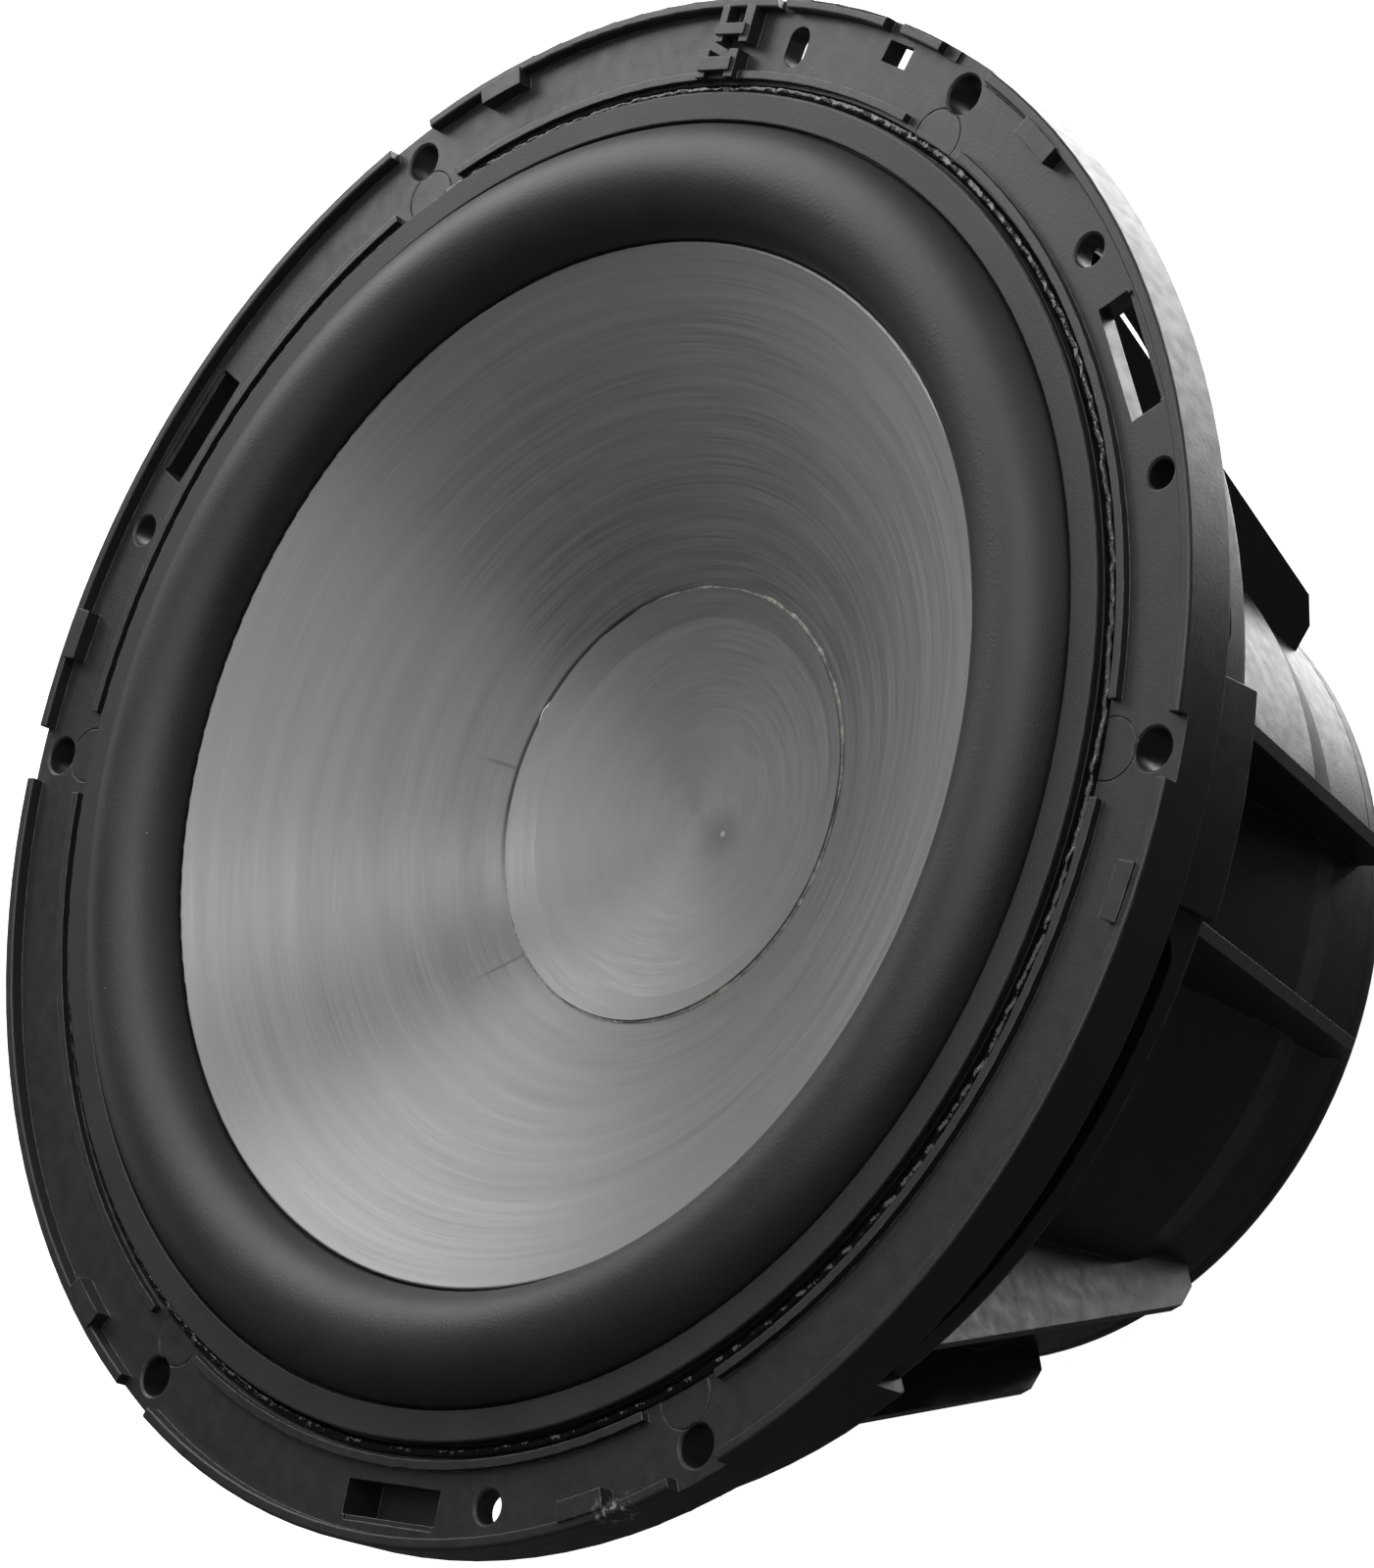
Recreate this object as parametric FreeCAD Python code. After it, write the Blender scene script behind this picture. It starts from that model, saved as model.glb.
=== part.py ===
import FreeCAD
import Part

import math
import os

# A 10 inch class marine and car subwoofer driver, shown with its trim ring off.
# Row frame: millimetres, origin at the centre of the mounting-hole circle on the
# flange's front face, +Z out of the front of the driver, angles from +X about +Z.

vec = FreeCAD.Vector
X_AXIS = vec(1, 0, 0)
Z_AXIS = vec(0, 0, 1)
CENTRE = vec(0, 0, 0)

# ---------------------------------------------------------------- driving sizes

# flange and its rim
hole_circle_r = 127.0
hole_r = 3.35
hole_count = 6
flange_r = 132.6
flange_t = 4.0
rim_t = 2.0
rim_h = 2.4
skirt_depth = 8.0
notch_half_angle = 2.2
mount_boss_r = 6.2
chamfer = 0.4

# small features on the flange face
rib_r = (118.2, 119.6)
rib_h = 1.5
rib_start_gap = 3.6
rib_end_gap = 3.8
lug_r = 127.8
lug_h = 2.9
lug_offset_angle = -10.0
lug_half_angle = 2.05
clip_slot_size = (21.6, 5.8)
clip_slot_r = 125.1
clip_slot_angles = (30.0, 150.0, 270.0)
clip_pocket_angles = (30.0, 150.0)
clip_pocket_depth = 7.8
clip_pocket_wall = 1.2
trim_hole_circle_r = 125.6
trim_hole_r = 2.7
trim_hole_angles = (40.0, 160.0, 280.0)
pilot_angle = 260.0
pilot_r = 2.4
pilot_circle_r = 126.3
pilot_depth = 7.0
ejector_mark_r = 4.9
ejector_mark_circle_r = 118.8
engraving = 0.25

# wiring corner of the flange
wire_hole_angle = -41.0
wire_hole_r = (121.2, 128.4)
wire_hole_w = 4.6
cable_slot_angle = -51.7
cable_slot_r = (125.7, 129.5)
cable_slot_w = 6.0
clip_angle = -34.0

# basket body behind the flange
ledge_inner_r = 106.0
collar_r = 119.0
collar_wall = 3.0
arm_collar_r = 121.5
collar_end = -31.0
wall = 2.6
body_start_r = 88.6
body_mid = (83.2, -75.0)
step_front = (81.0, -104.0)
step_rear = (77.4, -113.5)
body_end = (75.6, -127.5)
window_size = (80.0, 17.6)
window_z = -17.7
window_corner_r = 6.0
rear_vent_r = (96.0, 115.0)
rear_vent_half = 18.5

# fins, a parallel pair on each of the six arms
arm_half_w = 17.0
fin_t = 2.4
fin_front_r = 112.8
fin_rear = (84.0, -117.2)
fin_end = (79.2, -122.0)

# moving parts
cone_edge = (90.0, -0.7)
cone_cap_join = (38.0, -30.1)
cone_t = 1.1
former_r = (25.2, 25.6)
former_z = (-36.4, -99.0)
coil_r = 27.0
coil_z = (-69.0, -99.0)
neck_r = 25.8
cap_r = 38.0
cap_crease_r = 33.4
cap_centre_z = -37.6
cap_t = 0.6
cap_seat_gap = 0.08

# suspension
roll_inner = (91.0, -0.7)
roll_outer = (109.3, 2.0)
roll_rise = 6.6
roll_t = 1.2
surround_lip_t = 1.0
landing_outer_r = 115.5
landing_ring = (110.3, 115.5, 1.15, 2.6)
spider_z = -46.5
spider_r = (25.9, 77.0)
spider_waves = 6
spider_wave_h = 2.2
spider_t = 0.6
spider_ledge = (73.0, -50.0, -47.0)

# motor
shelf = (33.0, -74.0, -79.0)
front_plate = (27.5, 70.5, -79.0, -89.0)
magnet_r = (33.0, 70.0)
magnet_z = (-89.0, -104.0, -119.0)
yoke_r = 70.5
yoke_z = (-119.0, -127.0)
pole_r = 24.7
pole_top = -78.0
vent_r = 10.0
shorting_ring = (24.75, 31.5, -112.5, -119.0)
motor_screw_circle_r = 58.0
motor_screw_r = 2.5

# rear cover
cover_top = -127.5
cover_end = -134.0
cover_t = 3.0
cover_corner_r = 5.5
cover_screw_circle_r = 48.0
cover_vent_r = 15.0

# terminal block, on the side away from the fins
terminal_angle = -30.0
terminal_z = -62.0
pad_face = 90.0
pad_size = (34.0, 26.0)
pad_window = (22.0, 14.0)
tab_w = 6.3
tab_t = 0.8
tab_spacing = 11.0
tab_end = 104.6
lead_r = 0.8
lead_z = -42.8
solder_lug_r = 79.4

hole_angles = [i * 360.0 / hole_count for i in range(hole_count)]
sector_angles = [a + 30.0 for a in hole_angles]


# ---------------------------------------------------------------- shape helpers

def outline(points):
    """Closed face in the XZ plane. A point is (r, z) or (r, z, corner radius)."""
    corners = []
    count = len(points)
    for i, point in enumerate(points):
        here = vec(point[0], 0, point[1])
        radius = point[2] if len(point) > 2 else 0.0
        before = points[i - 1]
        after = points[(i + 1) % count]
        to_before = (vec(before[0], 0, before[1]) - here).normalize()
        to_after = (vec(after[0], 0, after[1]) - here).normalize()
        if radius == 0.0:
            corners.append((here, None, here))
            continue
        half = to_before.getAngle(to_after) / 2
        reach = radius / math.tan(half)
        bisector = (to_before + to_after).normalize()
        middle = here + bisector * (radius / math.sin(half) - radius)
        corners.append((here + to_before * reach, middle, here + to_after * reach))
    edges = []
    for i, (start, middle, end) in enumerate(corners):
        if middle is not None:
            edges.append(Part.Arc(start, middle, end).toShape())
        next_start = corners[(i + 1) % count][0]
        if end.distanceToPoint(next_start) > 1e-6:
            edges.append(Part.LineSegment(end, next_start).toShape())
    return Part.Face(Part.Wire(edges))


def turned(points):
    """Solid of revolution about Z from an (r, z) outline."""
    return outline(points).revolve(CENTRE, Z_AXIS, 360)


def ring(inner_r, outer_r, low, high):
    return turned([(inner_r, low), (outer_r, low), (outer_r, high), (inner_r, high)])


def disc(radius, low, high, at_r=0.0, angle=0.0):
    x = at_r * math.cos(math.radians(angle))
    y = at_r * math.sin(math.radians(angle))
    return Part.makeCylinder(radius, high - low, vec(x, y, low), Z_AXIS)


def ring_sector(inner_r, outer_r, low, high, start, end):
    """Part of a ring between two angles in degrees."""
    section = outline([(inner_r, low), (outer_r, low), (outer_r, high), (inner_r, high)])
    section.rotate(CENTRE, Z_AXIS, start)
    return section.revolve(CENTRE, Z_AXIS, end - start)


def block(size_r, size_t, low, high, at_r, angle, at_t=0.0):
    """Box centred at a radius and angle, its sides along the radius and across it."""
    box = Part.makeBox(size_r, size_t, high - low, vec(at_r - size_r / 2, at_t - size_t / 2, low))
    box.rotate(CENTRE, Z_AXIS, angle)
    return box


def around(shape, angles):
    copies = []
    for angle in angles:
        copy = shape.copy()
        copy.rotate(CENTRE, Z_AXIS, angle)
        copies.append(copy)
    return copies


def countersink(radius, top, at_r, angle):
    """Cone that breaks the edge of a hole."""
    x = at_r * math.cos(math.radians(angle))
    y = at_r * math.sin(math.radians(angle))
    deep = 2 * chamfer
    return Part.makeCone(radius - chamfer, radius + chamfer, deep, vec(x, y, top - chamfer), Z_AXIS)


def stadium(inner_r, outer_r, width, low, high, angle):
    """Round-ended slot that runs along the radius."""
    half = width / 2
    slot = Part.makeBox(outer_r - inner_r - width, width, high - low, vec(inner_r + half, -half, low))
    for centre_r in (inner_r + half, outer_r - half):
        slot = slot.fuse(disc(half, low, high, centre_r))
    slot.rotate(CENTRE, Z_AXIS, angle)
    return slot


def arc_band(centre, radius, thickness, start, end):
    """Face of a curved band in the XZ plane, angles in degrees from +X towards +Z."""
    def at(distance, degrees):
        rad = math.radians(degrees)
        return vec(centre[0] + distance * math.cos(rad), 0, centre[1] + distance * math.sin(rad))
    middle = (start + end) / 2
    outer = radius + thickness / 2
    inner = radius - thickness / 2
    edges = [
        Part.Arc(at(outer, start), at(outer, middle), at(outer, end)).toShape(),
        Part.LineSegment(at(outer, end), at(inner, end)).toShape(),
        Part.Arc(at(inner, end), at(inner, middle), at(inner, start)).toShape(),
        Part.LineSegment(at(inner, start), at(outer, start)).toShape(),
    ]
    return Part.Face(Part.Wire(edges))


# ---------------------------------------------------------------- basket

def basket_outer():
    """Outside of the basket: flange, collar and stepped body, before it is hollowed."""
    return turned([
        (0, 0),
        (flange_r - rim_t, 0),
        (flange_r - rim_t, rim_h, 0.4),
        (flange_r, rim_h, 0.6),
        (flange_r, -skirt_depth, 0.5),
        (flange_r - rim_t, -skirt_depth),
        (flange_r - rim_t, -flange_t),
        (collar_r, -flange_t, 1.0),
        (collar_r, collar_end, 1.2),
        (body_start_r, collar_end, 4.0),
        body_mid + (20.0,),
        step_front + (3.0,),
        step_rear + (3.0,),
        body_end,
        (0, body_end[1]),
    ])


def basket_cavity():
    """Space inside the basket, open at the front and at the rear."""
    inner_collar = collar_r - collar_wall
    return turned([
        (0, 5),
        (ledge_inner_r, 5),
        (ledge_inner_r, -flange_t),
        (inner_collar, -flange_t, 1.0),
        (inner_collar, collar_end + wall, 1.0),
        (body_start_r - wall, collar_end + wall, 5.0),
        (body_mid[0] - wall, body_mid[1]),
        (step_front[0] - wall, step_front[1] - 1),
        (step_rear[0] - wall, step_rear[1] - 1),
        (body_end[0] - wall, body_end[1] - 2),
        (0, body_end[1] - 2),
    ])


def arm_collars():
    """Thicker stretch of the collar on each arm."""
    band = turned([
        (collar_r - 1, -flange_t),
        (arm_collar_r, -flange_t),
        (arm_collar_r, collar_end, 1.2),
        (collar_r - 1, collar_end),
    ])
    width = 2 * arm_half_w + fin_t
    reach = block(20, width, collar_end, -flange_t, collar_r, 0)
    return around(band.common(reach), hole_angles)


def fins():
    """Two parallel fins on each arm, from the collar to past the step."""
    points = [
        (70.0, collar_end + 0.5),
        (fin_front_r, collar_end + 0.5),
        fin_rear,
        fin_end,
        (74.0, fin_end[1] - 0.6),
        (70.0, fin_end[1] - 0.6),
    ]
    plates = []
    for side in (-1, 1):
        plate = outline(points).extrude(vec(0, fin_t, 0))
        plate.translate(vec(0, side * arm_half_w - fin_t / 2, 0))
        plates += around(plate, hole_angles)
    return plates


def windows():
    """Wide rounded vent between flange and collar edge, one in each sector."""
    width, height = window_size
    opening = Part.makeBox(30, width, height, vec(97, -width / 2, window_z - height / 2))
    long_edges = [e for e in opening.Edges if abs(e.tangentAt(0).x) > 0.99]
    opening = opening.makeFillet(window_corner_r, long_edges)
    return around(opening, sector_angles)


def rear_vents():
    """Wide opening through the collar's rear shoulder, one in each sector."""
    inner, outer = rear_vent_r
    vent = ring_sector(inner, outer, collar_end - 1, collar_end + wall + 1, -rear_vent_half, rear_vent_half)
    return around(vent, sector_angles)


def flange_additions():
    pieces = []
    rib = ring_sector(rib_r[0], rib_r[1], -1, rib_h, rib_start_gap, 60 - rib_end_gap)
    pieces += around(rib, hole_angles)
    low = lug_offset_angle - lug_half_angle
    high = lug_offset_angle + lug_half_angle
    lug = ring_sector(lug_r, flange_r - rim_t + 0.5, -1, lug_h, low, high)
    pieces += around(lug, hole_angles)
    boss = disc(mount_boss_r, -skirt_depth, -flange_t + 1, hole_circle_r)
    boss = boss.common(disc(flange_r - 0.5, -skirt_depth, 0))
    pieces += around(boss, hole_angles)
    pieces.append(disc(4.2, -skirt_depth - 1, -flange_t + 1, pilot_circle_r, pilot_angle))
    length, width = clip_slot_size
    grown = 2 * clip_pocket_wall
    pocket_end = -clip_pocket_depth - clip_pocket_wall
    pocket = block(width + grown, length + grown, pocket_end, -flange_t + 1, clip_slot_r, 0)
    pieces += around(pocket, clip_pocket_angles)
    return pieces


def cable_hooks():
    """Two little moulded hooks that hold the trim ring's lamp lead to the flange."""
    pieces = [
        block(6.6, 2.0, -1, 2.8, 127.6, clip_angle - 2.2),
        block(6.6, 1.6, -1, 2.8, 127.6, clip_angle + 0.4),
        block(2.0, 6.6, 1.6, 3.4, 126.4, clip_angle - 0.8),
        block(5.0, 2.0, -1, 2.8, 120.5, clip_angle - 1.6),
        block(2.4, 7.4, 1.4, 3.4, 120.2, clip_angle),
        block(5.0, 2.0, -1, 2.8, 120.5, clip_angle + 1.6),
    ]
    return pieces


def flange_cuts():
    cuts = []
    notch = ring_sector(flange_r - rim_t - 0.01, flange_r + 1, 0, rim_h + 1, -notch_half_angle, notch_half_angle)
    cuts += around(notch, hole_angles)
    for angle in hole_angles:
        cuts.append(disc(hole_r, -skirt_depth - 2, 5, hole_circle_r, angle))
        cuts.append(countersink(hole_r + chamfer, 0, hole_circle_r, angle))
    for angle in trim_hole_angles:
        cuts.append(disc(trim_hole_r, -skirt_depth - 2, 5, trim_hole_circle_r, angle))
        cuts.append(countersink(trim_hole_r + chamfer, 0, trim_hole_circle_r, angle))
    cuts.append(disc(pilot_r, -pilot_depth, 5, pilot_circle_r, pilot_angle))
    cuts.append(countersink(pilot_r + chamfer, 0, pilot_circle_r, pilot_angle))
    for angle in clip_slot_angles:
        length, width = clip_slot_size
        cuts.append(block(width, length, -clip_pocket_depth, 2, clip_slot_r, angle))
        cuts.append(block(1.0, length - 1.0, -0.5, 0.5, clip_slot_r + width / 2 + 0.4, angle))
    cuts.append(stadium(wire_hole_r[0], wire_hole_r[1], wire_hole_w, -flange_t - 2, 2, wire_hole_angle))
    exit_cut = block(8.0, 1.8, 0.2, rim_h + 2, flange_r - 1, wire_hole_angle + 2.0)
    exit_cut.rotate(exit_cut.CenterOfMass, Z_AXIS, 35)
    cuts.append(exit_cut)
    slot_mid = (cable_slot_r[0] + cable_slot_r[1]) / 2
    slot_deep = cable_slot_r[1] - cable_slot_r[0]
    cuts.append(block(slot_deep, cable_slot_w, -flange_t - 2, 2, slot_mid, cable_slot_angle))
    cuts.append(block(3.0, 4.4, 0.1, rim_h + 2, flange_r - 1, cable_slot_angle + 0.7))
    cuts.append(block(3.0, 3.8, 0.6, rim_h + 2, flange_r - 1, cable_slot_angle - 5.5))
    return cuts


def engraved_marks():
    """Shallow mould marks on the flange face."""
    marks = []
    for angle in hole_angles:
        outer = disc(ejector_mark_r + engraving, -engraving, 1, ejector_mark_circle_r, angle)
        inner = disc(ejector_mark_r, -engraving - 1, 2, ejector_mark_circle_r, angle)
        marks.append(outer.cut(inner))
    marks.append(ring_sector(130.0, 130.3, -engraving, 1, 293.3, 298.5))
    return marks


def terminal_pad():
    """Flat pad on the body that carries the terminal block."""
    width, height = pad_size
    pad = block(12, width, terminal_z - height / 2, terminal_z + height / 2, pad_face - 6, 0)
    upright = [e for e in pad.Edges if abs(e.tangentAt(0).x) > 0.99]
    pad = pad.makeFillet(2.5, upright)
    pad.rotate(CENTRE, Z_AXIS, terminal_angle)
    return pad


def make_basket():
    body = basket_outer().fuse(arm_collars() + fins() + flange_additions() + [terminal_pad()])
    body = body.cut([basket_cavity()] + windows() + rear_vents())
    inner_r, ledge_low, ledge_high = spider_ledge
    ledge = turned([
        (inner_r, ledge_high),
        (body_start_r - 3, ledge_high),
        (body_mid[0] + 0.2, ledge_low - 8),
        (body_mid[0] - wall, ledge_low - 8),
        (inner_r, ledge_low),
    ])
    hub_r, shelf_top, shelf_bottom = shelf
    plate = ring(hub_r, body_mid[0] - 1.5, shelf_bottom, shelf_top)
    body = body.fuse([ledge, plate] + cable_hooks())
    width, height = pad_window
    cuts = flange_cuts() + engraved_marks()
    cuts.append(block(30, width, terminal_z - height / 2, terminal_z + height / 2, pad_face, terminal_angle))
    cuts.append(block(12.4, 26, ledge_low - 12, ledge_high + 1, solder_lug_r - 3.2, terminal_angle))
    cuts += around(disc(motor_screw_r + 0.15, shelf_bottom - 1, shelf_top + 1, motor_screw_circle_r), hole_angles)
    for side_t, side_z in terminal_screw_places():
        cuts.append(terminal_screw_hole(1.1, 8.0, side_t, side_z))
    body = body.cut(cuts).removeSplitter()
    return body


# ---------------------------------------------------------------- moving parts

def cone_line(r, offset=0.0):
    """Height of the cone's front face at a radius, moved square to the face."""
    slope = (cone_edge[1] - cone_cap_join[1]) / (cone_edge[0] - cone_cap_join[0])
    return cone_edge[1] + slope * (r - cone_edge[0]) - offset * math.hypot(1, slope)


def make_cone():
    neck_outer = neck_r + cone_t
    neck_end = cone_line(neck_r) - 4.5
    return turned([
        (neck_r, neck_end),
        (neck_outer, neck_end, 0.3),
        (neck_outer, cone_line(neck_outer, cone_t), 2.0),
        (cone_edge[0] - 0.5, cone_line(cone_edge[0] - 0.5, cone_t)),
        (cone_edge[0], cone_line(cone_edge[0] - 0.5, cone_t) + 0.3),
        (cone_edge[0], cone_edge[1], 0.3),
        (neck_r, cone_line(neck_r), 1.0),
    ])


def make_dust_cap():
    """Cap with a sloping rim that lies on the cone and a round dish inside its crease."""
    crease = vec(cap_crease_r, 0, cone_line(cap_crease_r, -cap_seat_gap - cap_t))
    depth = crease.z - cap_centre_z
    upper_sphere = (cap_crease_r ** 2 + depth ** 2) / (2 * depth)
    lower_sphere = upper_sphere + cap_t
    sphere_z = cap_centre_z + upper_sphere

    def dish(sphere, r):
        return vec(r, 0, sphere_z - math.sqrt(sphere ** 2 - r ** 2))

    halfway = cap_crease_r / 2
    rim_top = vec(cap_r, 0, cone_line(cap_r, -cap_seat_gap - cap_t))
    rim_seat = vec(cap_r, 0, cone_line(cap_r, -cap_seat_gap))
    seat_inner = vec(cap_crease_r + 0.8, 0, cone_line(cap_crease_r + 0.8, -cap_seat_gap))
    under_crease = dish(lower_sphere, cap_crease_r - 0.4)
    edges = [
        Part.LineSegment(rim_seat, rim_top).toShape(),
        Part.LineSegment(rim_top, crease).toShape(),
        Part.Arc(crease, dish(upper_sphere, halfway), dish(upper_sphere, 0)).toShape(),
        Part.LineSegment(dish(upper_sphere, 0), dish(lower_sphere, 0)).toShape(),
        Part.Arc(dish(lower_sphere, 0), dish(lower_sphere, halfway), under_crease).toShape(),
        Part.LineSegment(under_crease, seat_inner).toShape(),
        Part.LineSegment(seat_inner, rim_seat).toShape(),
    ]
    return Part.Face(Part.Wire(edges)).revolve(CENTRE, Z_AXIS, 360)


def make_cap_adhesive():
    """Thin fillet of glue in the corner between dust cap and cone."""
    return turned([
        (cap_r + 0.05, cone_line(cap_r + 0.05, -0.05)),
        (cap_r + 0.9, cone_line(cap_r + 0.9, -0.05)),
        (cap_r + 0.05, cone_line(cap_r + 0.05, -0.05) + 0.5),
    ])


def make_neck_adhesive():
    """Bead of glue where the cone's neck meets the coil former."""
    neck_end = cone_line(neck_r) - 4.5
    return turned([
        (former_r[1], neck_end - 1.6),
        (former_r[1] + 1.2, neck_end - 0.1),
        (former_r[1], neck_end - 0.1),
    ])


# ---------------------------------------------------------------- suspension

def roll_circle():
    """Centre, radius and end angles of the surround's half roll."""
    dx = roll_outer[0] - roll_inner[0]
    dz = roll_outer[1] - roll_inner[1]
    half = math.hypot(dx, dz) / 2
    radius = (half * half + roll_rise * roll_rise) / (2 * roll_rise)
    tilt = math.atan2(dz, dx)
    drop = radius - roll_rise
    centre_r = (roll_inner[0] + roll_outer[0]) / 2 + drop * math.sin(tilt)
    centre_z = (roll_inner[1] + roll_outer[1]) / 2 - drop * math.cos(tilt)
    spread = math.degrees(math.asin(half / radius))
    up = 90 + math.degrees(tilt)
    return (centre_r, centre_z), radius, up - spread, up + spread


def make_surround():
    """Rubber half roll with a flat outer lip and an inner lip under the cone's edge."""
    centre, radius, outer_end, inner_end = roll_circle()
    roll = arc_band(centre, radius, roll_t, outer_end, inner_end).revolve(CENTRE, Z_AXIS, 360)
    foot_r = roll_outer[0] + 0.7
    foot = turned([
        (foot_r - roll_t, 0.05),
        (landing_outer_r, 0.05),
        (landing_outer_r, 0.05 + surround_lip_t, 0.3),
        (foot_r, 0.05 + surround_lip_t),
        (foot_r, roll_outer[1] + 0.1),
        (foot_r - roll_t, roll_outer[1] + 0.3),
    ])
    gap = cone_t + 0.1
    lip_start = cone_edge[0] - 4.5
    lip = turned([
        (lip_start, cone_line(lip_start, gap)),
        (lip_start, cone_line(lip_start, gap + surround_lip_t)),
        (roll_inner[0] - 0.2, cone_line(roll_inner[0], gap + surround_lip_t)),
        (roll_inner[0] + 0.5, roll_inner[1] + 0.2),
        (cone_edge[0] + 0.35, roll_inner[1] + 0.2),
        (cone_edge[0] + 0.35, cone_line(cone_edge[0] + 0.35, gap)),
    ])
    return roll.fuse([foot, lip]).removeSplitter()


def make_surround_adhesive():
    """Glue bead in the groove between the landing ring and the flange ribs."""
    inner_r, outer_r = landing_outer_r + 0.15, rib_r[0] - 0.6
    base = 0.03
    return turned([
        (inner_r, base),
        (outer_r, base),
        (outer_r - 0.3, 0.6),
        (outer_r - 0.8, 0.9),
        (inner_r + 0.3, 0.8),
    ])


def make_spider():
    """Corrugated fabric spring between the coil former and the basket's inner ledge."""
    inner_flat = 3.0
    outer_flat = spider_r[1] - spider_ledge[0] + 0.6
    start = spider_r[0] + inner_flat
    end = spider_ledge[0] - 0.6
    step = (end - start) / (2 * spider_waves)

    def layer(height):
        edges = [Part.LineSegment(vec(spider_r[0], 0, height), vec(start, 0, height)).toShape()]
        for i in range(2 * spider_waves):
            sign = 1 if i % 2 == 0 else -1
            a = vec(start + i * step, 0, height)
            b = vec(start + (i + 0.5) * step, 0, height + sign * spider_wave_h / 2)
            c = vec(start + (i + 1) * step, 0, height)
            edges.append(Part.Arc(a, b, c).toShape())
        edges.append(Part.LineSegment(vec(end, 0, height), vec(end + outer_flat, 0, height)).toShape())
        return edges

    top = layer(spider_z + spider_t / 2)
    bottom = layer(spider_z - spider_t / 2)
    high, low = spider_z + spider_t / 2, spider_z - spider_t / 2
    sides = [
        Part.LineSegment(vec(spider_r[0], 0, high), vec(spider_r[0], 0, low)).toShape(),
        Part.LineSegment(vec(end + outer_flat, 0, high), vec(end + outer_flat, 0, low)).toShape(),
    ]
    loop = Part.Wire(Part.__sortEdges__(top + bottom + sides))
    return Part.Face(loop).revolve(CENTRE, Z_AXIS, 360)


def make_spider_ring():
    """Clamp ring over the spider's outer edge, open where the leads pass."""
    clamp = ring(spider_ledge[0] + 1.0, 80.0, spider_z + spider_t / 2 + 0.05, spider_z + 2.4)
    return clamp.cut(block(20, 30, spider_z - 2, spider_z + 5, 78, terminal_angle))


def bent_path(points):
    """Wire of straight runs joined by tangent arcs, each as large as its two runs allow."""
    ends = [points[0]]
    edges = []
    for before, corner, after in zip(points, points[1:], points[2:]):
        to_before = (before - corner).normalize()
        to_after = (after - corner).normalize()
        half = to_before.getAngle(to_after) / 2
        reach = 0.45 * min(corner.distanceToPoint(before), corner.distanceToPoint(after))
        radius = reach * math.tan(half)
        middle = corner + (to_before + to_after).normalize() * (radius / math.sin(half) - radius)
        start = corner + to_before * reach
        end = corner + to_after * reach
        edges.append(Part.LineSegment(ends[-1], start).toShape())
        edges.append(Part.Arc(start, middle, end).toShape())
        ends.append(end)
    edges.append(Part.LineSegment(ends[-1], points[-1]).toShape())
    return Part.Wire(edges)


def make_lead(side):
    """Braided lead from the terminal's inner lug over the spider to the coil former."""
    across = side * tab_spacing / 2
    points = [
        vec(26.6, across * 0.6, lead_z),
        vec(48.0, across * 0.8, lead_z + 0.8),
        vec(69.5, across, lead_z - 0.1),
        vec(solder_lug_r - 0.4, across, lead_z - 1.0),
        vec(solder_lug_r + 0.8, across, lead_z - 7.7),
        vec(solder_lug_r, across, terminal_z + tab_t / 2 + 0.05),
    ]
    path = bent_path(points)
    direction = (points[1] - points[0]).normalize()
    section = Part.Wire([Part.Circle(points[0], direction, lead_r).toShape()])
    lead = path.makePipeShell([section], True, True)
    lead.rotate(CENTRE, Z_AXIS, terminal_angle)
    return lead


# ---------------------------------------------------------------- motor

def make_motor_screws():
    """Six pan-head screws that hold the shelf to the front plate."""
    hub_r, shelf_top, shelf_bottom = shelf
    screw = disc(motor_screw_r - 0.05, shelf_bottom - 8, shelf_top + 0.01, motor_screw_circle_r)
    head = disc(4.6, shelf_top + 0.02, shelf_top + 3.2, motor_screw_circle_r)
    socket = disc(1.8, shelf_top + 1.2, shelf_top + 4, motor_screw_circle_r)
    screw = screw.fuse(disc(motor_screw_r - 0.05, shelf_top - 0.5, shelf_top + 1, motor_screw_circle_r))
    screw = screw.fuse(head).cut(socket).removeSplitter()
    return Part.makeCompound(around(screw, hole_angles))


def make_front_plate():
    inner_r, outer_r, top, bottom = front_plate
    plate = turned([
        (inner_r, bottom, 0.6),
        (outer_r, bottom, 1.0),
        (outer_r, top, 1.0),
        (inner_r, top, 0.6),
    ])
    threads = around(disc(motor_screw_r, top - 8.5, top + 1, motor_screw_circle_r), hole_angles)
    return plate.cut(threads)


def make_magnet(top, bottom):
    inner_r, outer_r = magnet_r
    return turned([
        (inner_r, bottom, 0.8),
        (outer_r, bottom, 1.4),
        (outer_r, top, 1.4),
        (inner_r, top, 0.8),
    ])


def make_yoke():
    """Back plate and vented pole piece in one turned steel part."""
    top, bottom = yoke_z
    body = turned([
        (vent_r, pole_top, 2.0),
        (pole_r, pole_top, 0.8),
        (pole_r, -92.0),
        (pole_r - 1.6, -94.0),
        (pole_r - 1.6, -110.0),
        (pole_r, -112.0),
        (pole_r, top),
        (yoke_r, top, 1.2),
        (yoke_r, bottom, 3.0),
        (vent_r, bottom, 2.0),
    ])
    threads = around(disc(2.0, bottom - 1, bottom + 5.5, cover_screw_circle_r), hole_angles[::2])
    return body.cut(threads)


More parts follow.
